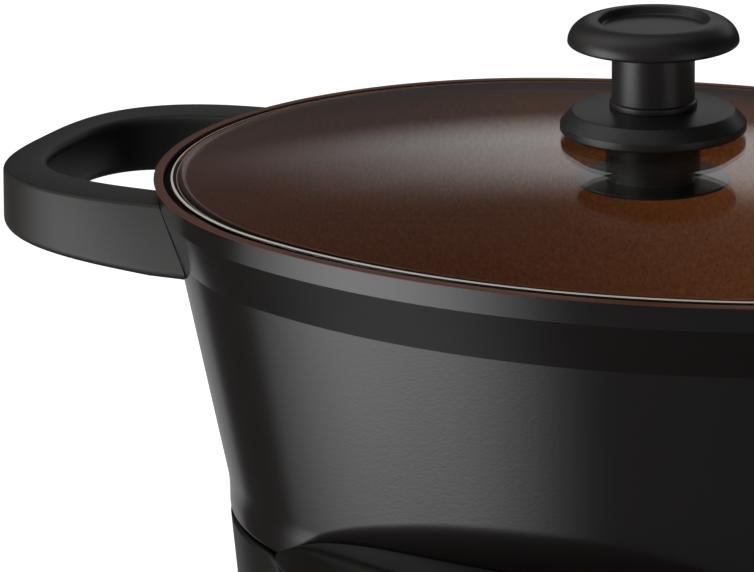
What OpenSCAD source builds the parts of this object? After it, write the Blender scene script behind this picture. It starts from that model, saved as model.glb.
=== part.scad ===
// Oval electric multicooker: a cast pot with a glass lid that lifts out of a heated base.
// X runs along the handles, the controls face -Y, Z is up, and the table is at Z = 0.

/* [Pot] */
// Half length of the rim, along the line of the handles
rim_half_length = 150; // [140:1:160]
// Half width of the rim, front to back
rim_half_width = 116.5; // [112:0.5:122]
// Height of the pot from its underside to its rim
pot_height = 140; // [136:1:150]
// Thickness of the cast wall
pot_wall = 3; // [2.4:0.1:3.4]
// Thickness of the pot's floor
pot_floor = 4; // [3:0.5:6]
// Width of the flat lip
lip_width = 2.8; // [2.4:0.1:3.4]
// Height of the lip
lip_height = 1.6; // [1.2:0.1:2.4]
// Inset of the upright collar under the lip
collar_inset = 1.5; // [1:0.1:2]
// Depth below the rim where the collar ends
collar_depth = 7.2; // [6.8:0.1:9]
// Inset of the wall under the chamfered band
band_inset = 5.5; // [5:0.1:7]
// Depth below the rim where the chamfered band ends
band_depth = 21.5; // [18:0.5:25]
// Inset of the upright skirt at the foot of the taper
skirt_inset = 20; // [18:0.5:21]
// Height above the pot's underside where the taper meets the skirt
taper_rise = 47.5; // [45:0.5:52]
// Height above the pot's underside of the skirt's lower edge
skirt_rise = 38.5; // [35:0.5:41]
// Inset of the part that nests in the base, at its top
nest_inset = 27; // [26.5:0.1:29]
// Inset of the nested part at its foot
foot_inset = 29; // [29:0.5:32]
// Size of the bevel round the pot's underside
foot_bevel = 7; // [5:0.5:9]
// Depth of the seat that the lid drops onto
seat_depth = 4.4; // [4:0.1:5]
// Width of the seat
seat_width = 5.2; // [4.6:0.1:5.6]

/* [Handles] */
// How far a handle reaches past the rim
handle_reach = 54; // [46:1:60]
// Half width of the handle loop
handle_half_width = 57; // [52:0.5:62]
// Width of the handle bar seen from above
handle_bar = 15; // [13:0.5:17]
// Height of the handle bar
handle_height = 21; // [18:0.5:23]
// Depth of the handle's top below the rim
handle_drop = 6; // [5:0.5:9]
// Outer corner radius of the loop, seen from above
handle_corner = 38; // [30:1:44]
// Edge rounding of the bar
handle_round = 5.5; // [3:0.5:6]
// How far the cast lug reaches past the collar into a handle arm
lug_reach = 8; // [5:0.5:12]
// Width of the cast lug
lug_width = 7; // [5:0.5:8]
// Height of the cast lug
lug_height = 11; // [9:0.5:12]
// Radius of a handle screw
handle_screw_r = 1.8; // [1.5:0.1:2.2]

/* [Lid] */
// Thickness of the glass
glass_thick = 4; // [3.5:0.1:5]
// Gap between the lip and the glass
glass_gap = 2.4; // [1.8:0.1:2.8]
// Rise of the dome from its edge to its middle
dome_rise = 15.5; // [12:0.5:20]
// Radius of the hole for the knob's screw
glass_hole_r = 4.5; // [4:0.1:6]
// Radius of the knob's top disc
cap_r = 25; // [22:0.5:28]
// Height of the knob's top disc
cap_height = 10; // [9:0.5:13]
// Radius of the dish in the top disc
dish_r = 15.9; // [12:0.1:17]
// Depth of the dish
dish_depth = 3; // [2:0.5:4]
// Radius of the knob's stem
stem_r = 12.5; // [11:0.5:14]
// Height of the stem
stem_height = 13; // [13:0.5:18]
// Radius of the ring at the stem's foot
ring_r = 13.4; // [12.6:0.1:16]
// Height of that ring
ring_height = 3; // [2:0.5:5]
// Radius of the knob's flange
flange_r = 27; // [25:0.5:30]
// Height of the flange
flange_height = 5; // [4:0.5:7]
// Radius of the gasket on the glass
gasket_r = 24; // [20:0.5:25]
// Thickness of the gasket
gasket_thick = 1.5; // [1:0.1:2.5]
// Radius of the retainer under the glass
retainer_r = 27; // [22:0.5:30]
// Height of the retainer
retainer_height = 8; // [7:0.5:10]
// Radius of the lid's screw
lid_screw_r = 2.5; // [2:0.1:3]

/* [Base] */
// Height of the rubber feet
foot_height = 6; // [5:0.5:9]
// Radius of a foot
foot_r = 9; // [7:0.5:12]
// Thickness of the floor plate
floor_thick = 3; // [2.4:0.2:4]
// Height of the electronics bay, floor to deck
bay_height = 25; // [24:0.5:30]
// Thickness of the deck over the bay
deck_thick = 3; // [2.4:0.2:4]
// Wall of the base shell
shell_wall = 2.3; // [2:0.1:2.6]
// How far the base draws in towards its foot
base_draft = 6.8; // [4:0.2:8]
// Thickness of a side panel
panel_skin = 2.7; // [2.2:0.1:2.9]
// Half width between the side panels' front edges
panel_edge = 80; // [78:1:90]
// Rounding of a side panel's upper corners
panel_corner = 14; // [8:1:20]
// Gap between the pot's skirt and the base
skirt_gap = 1.5; // [1:0.1:2.5]

/* [Heater] */
// Half length of the heater plate
heater_half_length = 100; // [96:1:106]
// Thickness of the heater plate
heater_thick = 7.8; // [7:0.2:10]
// Radius of the heating element's loop
element_loop_r = 58; // [52:1:59]
// Radius of the element's tube
element_tube_r = 3.5; // [3:0.1:4]
// Thickness of the heat shield
shield_thick = 1; // [0.8:0.1:1.5]
// Height of the spacers under the heater plate
spacer_height = 8.8; // [8:0.2:12]
// Radius of the sensor cap
sensor_r = 11; // [9:0.5:12]
// Travel of the sensor cap
sensor_travel = 2; // [1:0.5:3]

/* [Controls] */
// Half width of the control console
console_half_width = 72; // [66:1:76]
// Rise of the console above the base shell
console_rise = 15; // [10:1:18]
// Reach of the console's top past the skirt
console_top_reach = 8; // [6:0.5:12]
// Reach of the console's foot past the skirt
console_foot_reach = 48; // [44:1:54]
// Wall of the console
console_wall = 2.5; // [2:0.1:3]
// Depth of the flat control panel in the console's front
panel_recess = 7; // [6.5:0.5:8]
// Height of the panel's middle above the console's foot
panel_rise = 42; // [40:1:45]
// Thickness of the printed fascia
fascia_thick = 2.2; // [1.6:0.1:3]
// Radius of the dial
dial_r = 18; // [14:0.5:20]
// Height of the dial
dial_height = 13; // [10:0.5:18]
// Radius of the dial's shaft
shaft_r = 3; // [2.5:0.1:3.5]
// Width of a button
button_width = 15; // [10:0.5:16]
// Height of a button
button_height = 8; // [6:0.5:10]
// Travel of a button
button_travel = 1; // [0.6:0.1:1.2]
// Width of the display window
window_width = 44; // [36:1:50]
// Height of the display window
window_height = 16; // [12:0.5:18]

/* [Hidden] */
$fn = 96;

// Clearances: a close fit within one assembly, room between pieces that part, and a resting gap
fit = 0.2;
room = 0.3;
rest_gap = 0.2;
running_fit = 0.05;
// Length that a cutting shape runs past the solid it cuts
over = 1;
// Length that outlasts the whole object, for half spaces
far = 400;
// Depth of a screw's thread in what it holds
thread_engage = 12;
// A pan head's radius over its screw's
head_ratio = 2;

// Levels, stacked from the table upwards
floor_z = foot_height;
bay_z = floor_z + floor_thick;
deck_z = bay_z + bay_height;
deck_top = deck_z + deck_thick;
shield_z = deck_top + rest_gap;
shield_top = shield_z + shield_thick;
heater_z = shield_top + spacer_height;
heater_top = heater_z + heater_thick;
pot_z = heater_top + rest_gap;
rim_z = pot_z + pot_height;
seat_z = rim_z - seat_depth;
lip_z = rim_z - lip_height;
collar_z = rim_z - collar_depth;
band_z = rim_z - band_depth;
taper_z = pot_z + taper_rise;
skirt_z = pot_z + skirt_rise;
base_top = skirt_z - skirt_gap;

// Half lengths along X; the same piece is oval times as wide along Y
oval = rim_half_width / rim_half_length;
rim_r = rim_half_length;
collar_r = rim_r - collar_inset;
band_r = rim_r - band_inset;
skirt_r = rim_r - skirt_inset;
nest_r = rim_r - nest_inset;
pot_foot_r = rim_r - foot_inset;
seat_out_r = rim_r - lip_width;
seat_in_r = seat_out_r - seat_width;
glass_r = seat_out_r - glass_gap;
console_top_r = skirt_r + console_top_reach;
console_foot_r = skirt_r + console_foot_reach;

// Every piece is drawn about the pot's axis, then moved so that the origin is under the object's middle
origin_y = (oval * console_foot_r - rim_half_width) / 2;

module placed() {
    translate([0, origin_y, 0]) children();
}

// A solid turned about Z from a profile of [half length, height], narrowed to the pot's oval in two halves
module oval_turn(profile) {
    for (start = [0, 180])
        scale([1, oval, 1]) rotate_extrude(angle = 180, start = start) polygon(profile);
}

// A tapered oval block between two heights
module oval_block(low_r, low_z, high_r, high_z) {
    oval_turn([[0, low_z], [low_r, low_z], [high_r, high_z], [0, high_z]]);
}

// A place on the oval at an angle, for a given half length
function on_oval(r, angle) = [r * cos(angle), oval * r * sin(angle)];

// A place on a circle about the pot's axis
function on_circle(r, angle) = [r * cos(angle), r * sin(angle)];

// Corner points of a rounded rectangle about the origin
function rounded_box(width, height, r, steps = 5) = [
    for (q = [0:3], i = [0:steps])
        let (a = q * 90 + i * 90 / steps)
        let (sx = q == 0 || q == 3 ? 1 : -1, sy = q < 2 ? 1 : -1)
        [sx * (width / 2 - r) + r * cos(a), sy * (height / 2 - r) + r * sin(a)]
];

// Points of an arc about a centre in a profile
function arc(cx, cy, r, a0, a1, steps = 8) =
    [for (i = [0:steps]) let (a = a0 + (a1 - a0) * i / steps) [cx + r * cos(a), cy + r * sin(a)]];

// Lid

glass_z = seat_z + rest_gap;
glass_top_z = glass_z + glass_thick + dome_rise;
dome_r = (glass_r * glass_r + dome_rise * dome_rise) / (2 * dome_rise);
dome_angle = asin(glass_r / dome_r);
hole_angle = asin(glass_hole_r / dome_r);
underside_angle = asin((glass_r - glass_thick) / dome_r);
dome_centre_z = glass_top_z - dome_r;
edge_round = glass_thick / 2;
gasket_z = glass_top_z + fit / 2;
flange_z = gasket_z + gasket_thick;
ring_z = flange_z + flange_height;
stem_z = ring_z + ring_height;
cap_z = stem_z + stem_height;
cap_top = cap_z + cap_height;
retainer_top = glass_top_z - glass_thick - fit;
retainer_z = retainer_top - retainer_height;
lid_head_r = lid_screw_r * head_ratio;
lid_head_h = 3.5;

module lid_glass() {
    color([0.75, 0.80, 0.80, 0.4])
        difference() {
            oval_turn(concat(
                arc(0, dome_centre_z, dome_r, 90 - hole_angle, 90 - dome_angle, 10),
                arc(glass_r - edge_round, glass_z + edge_round, edge_round, 60, -90, 6),
                arc(0, dome_centre_z - glass_thick, dome_r, 90 - underside_angle, 90 - hole_angle, 10)
            ));
            translate([0, 0, glass_z])
                cylinder(r = glass_hole_r, h = glass_thick + dome_rise + over);
        }
}

module knob_cap() {
    edge = 4.2;
    shoulder = 1.5;
    underside_step = 2;
    dish_slope = 1;
    screw_tip = 2;
    color([0.07, 0.07, 0.07])
        difference() {
            rotate_extrude()
                polygon(concat(
                    [[0, cap_z], [stem_r + underside_step, cap_z]],
                    arc(cap_r - edge, cap_top - shoulder - edge, edge, -40, 90),
                    [[dish_r, cap_top], [dish_r - dish_slope, cap_top - dish_depth]],
                    [[0, cap_top - dish_depth]]
                ));
            translate([0, 0, cap_z - over]) cylinder(r = lid_screw_r + fit, h = over + screw_tip);
        }
}

module knob_stem() {
    color([0.07, 0.07, 0.07])
        difference() {
            translate([0, 0, stem_z]) cylinder(r = stem_r, h = stem_height);
            translate([0, 0, stem_z - over]) cylinder(r = lid_screw_r + fit / 2, h = thread_engage + over);
        }
}

module knob_ring() {
    color([0.09, 0.09, 0.09])
        difference() {
            translate([0, 0, ring_z]) cylinder(r = ring_r, h = ring_height);
            translate([0, 0, ring_z - over]) cylinder(r = lid_screw_r + fit, h = ring_height + 2 * over);
        }
}

module knob_flange() {
    edge_bevel = 0.9;
    top_bevel = 1.75;
    bevel_width = 3.5;
    color([0.07, 0.07, 0.07])
        rotate_extrude()
            polygon([[lid_screw_r + fit, flange_z], [flange_r - edge_bevel, flange_z],
                [flange_r, flange_z + edge_bevel], [flange_r, ring_z - top_bevel],
                [flange_r - bevel_width, ring_z], [lid_screw_r + fit, ring_z]]);
}

module knob_gasket() {
    color([0.12, 0.12, 0.12])
        difference() {
            translate([0, 0, gasket_z]) cylinder(r = gasket_r, h = gasket_thick);
            translate([0, 0, gasket_z - over]) cylinder(r = lid_screw_r + fit, h = gasket_thick + 2 * over);
        }
}

module lid_retainer() {
    hub_r = 12;
    hub_rise = 1.2;
    edge = 1;
    bore = lid_screw_r + fit;
    pocket = lid_head_r + fit;
    disc_top = retainer_top - hub_rise;
    color([0.05, 0.05, 0.05])
        rotate_extrude()
            polygon([
                [bore, retainer_z + lid_head_h], [pocket, retainer_z + lid_head_h],
                [pocket, retainer_z], [retainer_r - edge, retainer_z],
                [retainer_r, retainer_z + edge], [retainer_r, disc_top - edge],
                [retainer_r - edge, disc_top], [hub_r, disc_top],
                [hub_r, retainer_top], [bore, retainer_top]
            ]);
}

module lid_screw() {
    color([0.7, 0.7, 0.7])
        union() {
            translate([0, 0, retainer_z]) cylinder(r = lid_head_r, h = lid_head_h);
            translate([0, 0, retainer_z])
                cylinder(r = lid_screw_r, h = stem_z + thread_engage - fit - retainer_z);
        }
}

// Pot with its two handles

shoulder_rise = 12;
handle_top = rim_z - handle_drop;
handle_z = handle_top - handle_height / 2;
handle_out_x = rim_r + handle_reach;
corner_x = handle_out_x - handle_corner;
corner_y = handle_half_width - handle_corner;
bar_path_r = handle_corner - handle_bar / 2;
arm_y = handle_half_width - handle_bar / 2;
lug_x = collar_r + lug_reach;
wall_slope = (band_r - skirt_r) / (band_z - taper_z);
screw_x = collar_r + lug_reach / 2;
screw_bite = lug_height / 4;

// The pot's outer face beside the handles, grown by a gap
module pot_outside(gap, low_z, high_z) {
    low_r = band_r - (band_z - low_z) * wall_slope;
    oval_turn([[0, low_z], [low_r + gap, low_z], [band_r + gap, band_z], [collar_r + gap, collar_z],
        [collar_r + gap, high_z], [0, high_z]]);
}

module pot() {
    shoulder_r = skirt_r + wall_slope * shoulder_rise;
    color([0.10, 0.10, 0.10])
        difference() {
            union() {
                oval_turn([[0, pot_z], [pot_foot_r - foot_bevel, pot_z], [pot_foot_r, pot_z + foot_bevel],
                    [nest_r, skirt_z], [skirt_r, skirt_z], [skirt_r, taper_z], [band_r, band_z],
                    [collar_r, collar_z], [collar_r, lip_z], [rim_r, lip_z], [rim_r, rim_z], [0, rim_z]]);
                for (sx = [-1, 1], sy = [-1, 1])
                    translate([sx * lug_x / 2, sy * arm_y, handle_z])
                        cube([lug_x, lug_width, lug_height], center = true);
            }
            oval_turn([[0, pot_z + pot_floor], [pot_foot_r - foot_bevel - pot_wall, pot_z + pot_floor],
                [pot_foot_r - pot_wall, pot_z + pot_floor + foot_bevel], [nest_r - pot_wall, skirt_z],
                [shoulder_r - pot_wall, taper_z + shoulder_rise], [band_r - pot_wall, band_z],
                [seat_in_r, collar_z - over], [seat_in_r, seat_z], [seat_out_r, seat_z],
                [seat_out_r, rim_z + over], [0, rim_z + over]]);
            for (sx = [-1, 1], sy = [-1, 1])
                translate([sx * screw_x, sy * arm_y, handle_z - lug_height])
                    cylinder(r = handle_screw_r + fit / 2, h = lug_height + screw_bite);
        }
}

// One handle on the +X side: two arms, two corners and a grip bar, bored for the lugs and screws
module handle_loop() {
    section = rounded_box(handle_bar, handle_height, handle_round);
    color([0.09, 0.09, 0.09])
        difference() {
            translate([0, 0, handle_z])
                union() {
                    for (s = [-1, 1]) {
                        translate([rim_r / 2, s * arm_y, 0])
                            rotate([90, 0, 90]) linear_extrude(corner_x - rim_r / 2) polygon(section);
                        translate([corner_x, s * corner_y, 0])
                            rotate_extrude(angle = 90, start = s > 0 ? 0 : -90)
                                translate([bar_path_r, 0]) polygon(section);
                    }
                    translate([corner_x + bar_path_r, corner_y, 0])
                        rotate([90, 0, 0]) linear_extrude(2 * corner_y) polygon(section);
                }
            pot_outside(fit, handle_z - handle_height, handle_z + handle_height);
            for (s = [-1, 1]) {
                translate([lug_x / 2, s * arm_y, handle_z])
                    cube([lug_x + 2 * fit, lug_width + 2 * fit, lug_height + 2 * fit], center = true);
                translate([screw_x, s * arm_y, handle_z - handle_height]) {
                    cylinder(r = handle_screw_r + fit, h = handle_height);
                    cylinder(r = head_ratio * handle_screw_r + fit, h = handle_height / 2 + handle_screw_r);
                }
            }
        }
}

module handle_right() {
    handle_loop();
}

module handle_left() {
    mirror([1, 0, 0]) handle_loop();
}

module handle_screws() {
    head_z = handle_z - handle_height / 2;
    color([0.6, 0.6, 0.6])
        for (sx = [-1, 1], sy = [-1, 1])
            translate([sx * screw_x, sy * arm_y, head_z + fit])
                union() {
                    cylinder(r = head_ratio * handle_screw_r, h = handle_screw_r - fit);
                    cylinder(r = handle_screw_r, h = handle_height / 2 + screw_bite - 2 * fit);
                }
}

// Base shell, side panels, floor and feet

shell_drop = 1;
shell_top_r = skirt_r - panel_skin - room;
shell_foot_r = shell_top_r - base_draft;
shell_top = base_top - shell_drop;
shell_slope = base_draft / (shell_top - floor_z);
floor_r = shell_foot_r - shell_wall - fit;
ledge_width = 4;
ledge_thick = 2.5;
boss_r = 5;
boss_screw_r = 1.6;
boss_inset = 13;
boss_angles = [60, 120, 240, 300];
boss_place_r = floor_r - boss_inset;
spacer_r = 4.5;
spacer_gap = 4;
spacer_angles = [45, 135, 225, 315];
spacer_place_r = element_loop_r - element_tube_r - spacer_r - spacer_gap;
plate_screw_r = 2;
element_gap = 60;
pin_angles = [90 - element_gap / 2, 90 + element_gap / 2];
pin_r = 2;
pin_room = 3;
pin_hole_r = pin_r + pin_room;
sensor_ledge = 4;
sensor_hole_r = sensor_r - sensor_ledge;
gland_z = bay_z + bay_height / 2;
gland_neck_r = 6.5;
gland_flange_r = 9;
gland_flange_t = 3;
gland_reach = 6;
gland_bore_r = 3.8;
cable_slot_w = 24;
cable_slot_lift = 3;
cable_slot_z = bay_z + cable_slot_lift;
cable_slot_h = 14;

// Half length of the shell's outer face at a height
function shell_r(z) = shell_foot_r + (z - floor_z) * shell_slope;

module base_shell() {
    ledge_r = shell_r(deck_z) - shell_wall - ledge_width;
    color([0.06, 0.06, 0.06])
        difference() {
            oval_turn([
                [shell_foot_r - shell_wall, floor_z], [shell_foot_r, floor_z],
                [shell_top_r, shell_top], [shell_top_r - shell_wall, shell_top],
                [shell_r(deck_z) - shell_wall, deck_z], [ledge_r, deck_z],
                [ledge_r, deck_z - ledge_thick],
                [shell_r(deck_z - ledge_thick) - shell_wall, deck_z - ledge_thick]
            ]);
            translate([0, 0, gland_z]) rotate([-90, 0, 0]) cylinder(r = gland_neck_r + fit, h = far);
            translate([-cable_slot_w / 2, -far, cable_slot_z]) cube([cable_slot_w, far, cable_slot_h]);
        }
}

// Deck over the electronics: it lies on the shell's ledge, and its bosses take the floor's screws
module base_deck() {
    wall = shell_wall + fit;
    color([0.06, 0.06, 0.06])
        difference() {
            union() {
                oval_block(shell_r(deck_z) - wall, deck_z, shell_r(deck_top) - wall, deck_top);
                for (a = boss_angles)
                    translate(concat(on_oval(boss_place_r, a), bay_z + fit))
                        cylinder(r = boss_r, h = bay_height - fit + deck_thick / 2);
            }
            for (a = boss_angles)
                translate(concat(on_oval(boss_place_r, a), bay_z - over))
                    cylinder(r = boss_screw_r + fit / 2, h = thread_engage + over);
            for (a = spacer_angles)
                translate(concat(on_circle(spacer_place_r, a), deck_z - over))
                    cylinder(r = plate_screw_r + fit, h = deck_thick + 2 * over);
            for (a = pin_angles)
                translate(concat(on_circle(element_loop_r, a), deck_z - over))
                    cylinder(r = pin_hole_r, h = deck_thick + 2 * over);
            translate([0, 0, deck_z - over]) cylinder(r = sensor_hole_r, h = deck_thick + 2 * over);
        }
}

// Side panel on the +X side: a skin round the end of the shell, with rounded upper corners
module side_panel() {
    lift = 2;
    low_z = floor_z + lift;
    inner_r = shell_top_r + room;
    inner_low_r = shell_r(low_z) + room;
    color([0.11, 0.11, 0.11])
        intersection() {
            oval_turn([[inner_low_r, low_z], [inner_low_r + panel_skin, low_z], [skirt_r, base_top],
                [inner_r, base_top]]);
            rotate([90, 0, 0])
                linear_extrude(2 * far, center = true)
                    polygon(concat(
                        [[far, low_z - over], [panel_edge, low_z - over]],
                        arc(panel_edge + panel_corner, base_top - panel_corner, panel_corner, 180, 90),
                        [[panel_edge + panel_corner, base_top + over], [far, base_top + over]]
                    ));
        }
}

module side_panel_right() {
    side_panel();
}

module side_panel_left() {
    mirror([1, 0, 0]) side_panel();
}

foot_margin = 12;
foot_angles = [30, 150, 210, 330];
foot_place_r = floor_r - foot_margin;
vent_count = 5;
vent_pitch = 7;
vent_length = 46;
vent_width = 4;
vent_y = -34;
board_w = 104;
board_d = 66;
board_y = 14;
board_t = 1.6;
board_stand = 4;
board_z = bay_z + board_stand;
board_top = board_z + board_t;
stand_r = 3.5;
stand_inset = 6;
stand_x = board_w / 2 - stand_inset;
stand_y = board_d / 2 - stand_inset;

// Repeats children over the four posts that carry the power board
module at_stands() {
    for (sx = [-1, 1], sy = [-1, 1])
        translate([sx * stand_x, board_y + sy * stand_y, 0]) children();
}

module base_floor() {
    color([0.06, 0.06, 0.06])
        difference() {
            union() {
                oval_block(floor_r, floor_z, floor_r, bay_z);
                at_stands() translate([0, 0, floor_z]) cylinder(r = stand_r, h = floor_thick + board_stand);
            }
            for (a = boss_angles)
                translate(concat(on_oval(boss_place_r, a), floor_z - over)) {
                    cylinder(r = boss_screw_r + fit, h = floor_thick + 2 * over);
                    cylinder(r = head_ratio * boss_screw_r + fit, h = floor_thick / 2 + over);
                }
            for (i = [0:vent_count - 1])
                translate([-vent_length / 2, vent_y - i * vent_pitch, floor_z - over])
                    cube([vent_length, vent_width, floor_thick + 2 * over]);
        }
}

module feet() {
    bevel = 1.5;
    color([0.15, 0.15, 0.15])
        for (a = foot_angles)
            translate(on_oval(foot_place_r, a))
                rotate_extrude()
                    polygon([[0, 0], [foot_r - bevel, 0], [foot_r, bevel], [foot_r, foot_height],
                        [0, foot_height]]);
}

module base_screws() {
    color([0.6, 0.6, 0.6])
        for (a = boss_angles)
            translate(concat(on_oval(boss_place_r, a), floor_z))
                union() {
                    cylinder(r = head_ratio * boss_screw_r, h = floor_thick / 2 - fit);
                    cylinder(r = boss_screw_r, h = floor_thick + thread_engage - fit);
                }
}

module cord_gland() {
    wall_y = oval * shell_r(gland_z + gland_flange_r) + room;
    neck = shell_wall + gland_reach;
    color([0.08, 0.08, 0.08])
        difference() {
            translate([0, wall_y, gland_z])
                rotate([-90, 0, 0])
                    union() {
                        cylinder(r = gland_flange_r, h = gland_flange_t);
                        translate([0, 0, -neck]) cylinder(r = gland_neck_r, h = neck + gland_flange_t / 2);
                    }
            translate([0, wall_y - far / 2, gland_z]) rotate([-90, 0, 0]) cylinder(r = gland_bore_r, h = far);
        }
}

// Heater, its shield and the sprung temperature sensor

shield_margin = 6;
shield_r = heater_half_length + shield_margin;
shield_lip = 7;
guide_wall = 1.3;
guide_brim = 4;
guide_lip = 2;
guide_extra = 2;
guide_bore_r = sensor_r + room;
guide_out_r = guide_bore_r + guide_wall;
guide_flange_r = guide_out_r + guide_brim;
guide_flange_t = 1.5;
guide_height = spacer_height + guide_extra;
guide_hole_r = sensor_hole_r - guide_lip;
heater_hole_r = guide_out_r + fit;
sensor_skin = 1.4;
sensor_top = pot_z - rest_gap;
sensor_ceiling = sensor_top - sensor_skin;
spring_z = shield_top + guide_flange_t;
skirt_clear = 5;
sensor_skirt_z = spring_z + sensor_travel + skirt_clear;
spring_play = 2;
spring_r = sensor_r - sensor_skin - spring_play;
spring_wire_r = 0.6;
spring_turns = 5;
groove = element_tube_r + fit;
element_z = heater_z - fit;
leg_reach = 5;
leg_z = deck_z - leg_reach;

module heat_shield() {
    inner_r = shield_r - shield_thick;
    lip_top = shield_z + shield_lip;
    color([0.70, 0.71, 0.72])
        difference() {
            oval_turn([[0, shield_z], [shield_r, shield_z], [shield_r, lip_top], [inner_r, lip_top],
                [inner_r, shield_top], [0, shield_top]]);
            for (a = spacer_angles)
                translate(concat(on_circle(spacer_place_r, a), shield_z - over))
                    cylinder(r = plate_screw_r + fit, h = shield_thick + 2 * over);
            for (a = pin_angles)
                translate(concat(on_circle(element_loop_r, a), shield_z - over))
                    cylinder(r = pin_hole_r, h = shield_thick + 2 * over);
            translate([0, 0, shield_z - over]) cylinder(r = sensor_hole_r, h = shield_thick + 2 * over);
        }
}

module heater_plate() {
    screw_depth = heater_thick / 2;
    color([0.62, 0.62, 0.62])
        difference() {
            oval_block(heater_half_length, heater_z, heater_half_length, heater_top);
            translate([0, 0, heater_z - over]) cylinder(r = heater_hole_r, h = heater_thick + 2 * over);
            translate([0, 0, heater_z - over])
                rotate_extrude()
                    translate([element_loop_r - groove, 0]) square([2 * groove, over + element_tube_r]);
            for (a = spacer_angles)
                translate(concat(on_circle(spacer_place_r, a), heater_z - over))
                    cylinder(r = plate_screw_r + fit / 2, h = screw_depth + over);
        }
}

module heating_element() {
    color([0.35, 0.33, 0.31])
        union() {
            translate([0, 0, element_z])
                rotate_extrude(angle = 360 - element_gap, start = 90 + element_gap / 2)
                    translate([element_loop_r, 0]) circle(r = element_tube_r);
            for (a = pin_angles)
                translate(concat(on_circle(element_loop_r, a), leg_z))
                    cylinder(r = pin_r, h = element_z - leg_z);
        }
}

module plate_spacers() {
    color([0.85, 0.83, 0.78])
        for (a = spacer_angles)
            translate(concat(on_circle(spacer_place_r, a), shield_top))
                difference() {
                    cylinder(r = spacer_r, h = spacer_height);
                    translate([0, 0, -over]) cylinder(r = plate_screw_r + fit, h = spacer_height + 2 * over);
                }
}

module plate_screws() {
    head = 2.4;
    reach = heater_z + heater_thick / 2 - fit - deck_z;
    color([0.6, 0.6, 0.6])
        for (a = spacer_angles)
            translate(concat(on_circle(spacer_place_r, a), deck_z - head))
                union() {
                    cylinder(r = head_ratio * plate_screw_r, h = head);
                    cylinder(r = plate_screw_r, h = head + reach);
                }
}

module thermal_fuse() {
    fuse_r = 2.6;
    fuse_len = 16;
    clip_w = 8;
    clip_t = 1;
    fuse_x = 36;
    fuse_z = heater_z - fuse_r - clip_t;
    color([0.80, 0.78, 0.70])
        translate([fuse_x, 0, 0])
            union() {
                translate([0, -fuse_len / 2, fuse_z]) rotate([-90, 0, 0]) cylinder(r = fuse_r, h = fuse_len);
                translate([-clip_w / 2, -clip_w / 2, fuse_z]) cube([clip_w, clip_w, heater_z - fuse_z]);
            }
}

module sensor_cap() {
    bevel = 1;
    inner_r = sensor_r - sensor_skin;
    color([0.75, 0.75, 0.74])
        rotate_extrude()
            polygon([[0, sensor_top], [sensor_r - bevel, sensor_top], [sensor_r, sensor_top - bevel],
                [sensor_r, sensor_skirt_z], [inner_r, sensor_skirt_z], [inner_r, sensor_ceiling],
                [0, sensor_ceiling]]);
}

module sensor_guide() {
    color([0.72, 0.72, 0.70])
        translate([0, 0, shield_top])
            rotate_extrude()
                polygon([[guide_hole_r, 0], [guide_flange_r, 0], [guide_flange_r, guide_flange_t],
                    [guide_out_r, guide_flange_t], [guide_out_r, guide_height], [guide_bore_r, guide_height],
                    [guide_bore_r, guide_flange_t], [guide_hole_r, guide_flange_t]]);
}

// Points of one ring of the spring's wire
function spring_ring(turn, height, sides) =
    [for (k = [0:sides - 1])
        let (a = turn * 360, b = k * 360 / sides, r = spring_r + spring_wire_r * cos(b))
        [r * cos(a), r * sin(a), height + spring_wire_r * sin(b)]];

module sensor_spring() {
    steps = 12;
    sides = 6;
    rings = spring_turns * steps;
    low = spring_z + spring_wire_r + fit / 2;
    lift = sensor_ceiling - spring_z - 2 * spring_wire_r - fit;
    points = [for (i = [0:rings]) each spring_ring(i / steps, low + lift * i / rings, sides)];
    walls = [for (i = [0:rings - 1], k = [0:sides - 1])
        let (p = i * sides + k, q = i * sides + (k + 1) % sides)
        each [[p, p + sides, q], [q, p + sides, q + sides]]];
    first = [for (k = [1:sides - 2]) [0, k, k + 1]];
    last = [for (k = [1:sides - 2]) [rings * sides, rings * sides + k + 1, rings * sides + k]];
    color([0.65, 0.65, 0.66]) polyhedron(points, concat(walls, first, last));
}

module thermistor() {
    bead_r = 2;
    bead_h = 4;
    color([0.20, 0.12, 0.10])
        translate([0, 0, sensor_ceiling - bead_h]) cylinder(r = bead_r, h = bead_h);
}

// Electronics in the bay

relay_size = [19, 15.5, 15];
relay_inset = 12.5;
relay_at = [board_w / 2 - relay_inset - relay_size.x / 2, board_y - 8];
transformer_size = [26, 22, 17];
transformer_inset = 9;
transformer_at = [transformer_inset + transformer_size.x / 2 - board_w / 2, board_y - 2];
winding_size = [15.6, 28, 10.2];
winding_lift = 3.4;
capacitor_size = [18, 8, 14];
capacitor_at = [2, board_y - 14];
terminal_size = [24, 10, 12];
terminal_inset = 8;
terminal_at = [0, board_y + board_d / 2 - terminal_size.y / 2 - terminal_inset];
terminal_ways = 3;
terminal_pitch = terminal_size.x / terminal_ways;

// A board component standing on the power board
module on_board(at, size) {
    translate([at.x - size.x / 2, at.y - size.y / 2, board_top]) cube(size);
}

module power_board() {
    color([0.10, 0.32, 0.16])
        difference() {
            translate([-board_w / 2, board_y - board_d / 2, board_z]) cube([board_w, board_d, board_t]);
            at_stands()
                translate([0, 0, board_z - over]) cylinder(r = stand_r / 2, h = board_t + 2 * over);
        }
}

module relay() {
    color([0.10, 0.20, 0.45]) on_board(relay_at, relay_size);
}

module transformer() {
    color([0.55, 0.45, 0.20])
        union() {
            on_board(transformer_at, transformer_size);
            translate([0, 0, winding_lift]) on_board(transformer_at, winding_size);
        }
}

module capacitor() {
    color([0.75, 0.62, 0.12]) on_board(capacitor_at, capacitor_size);
}

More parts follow.
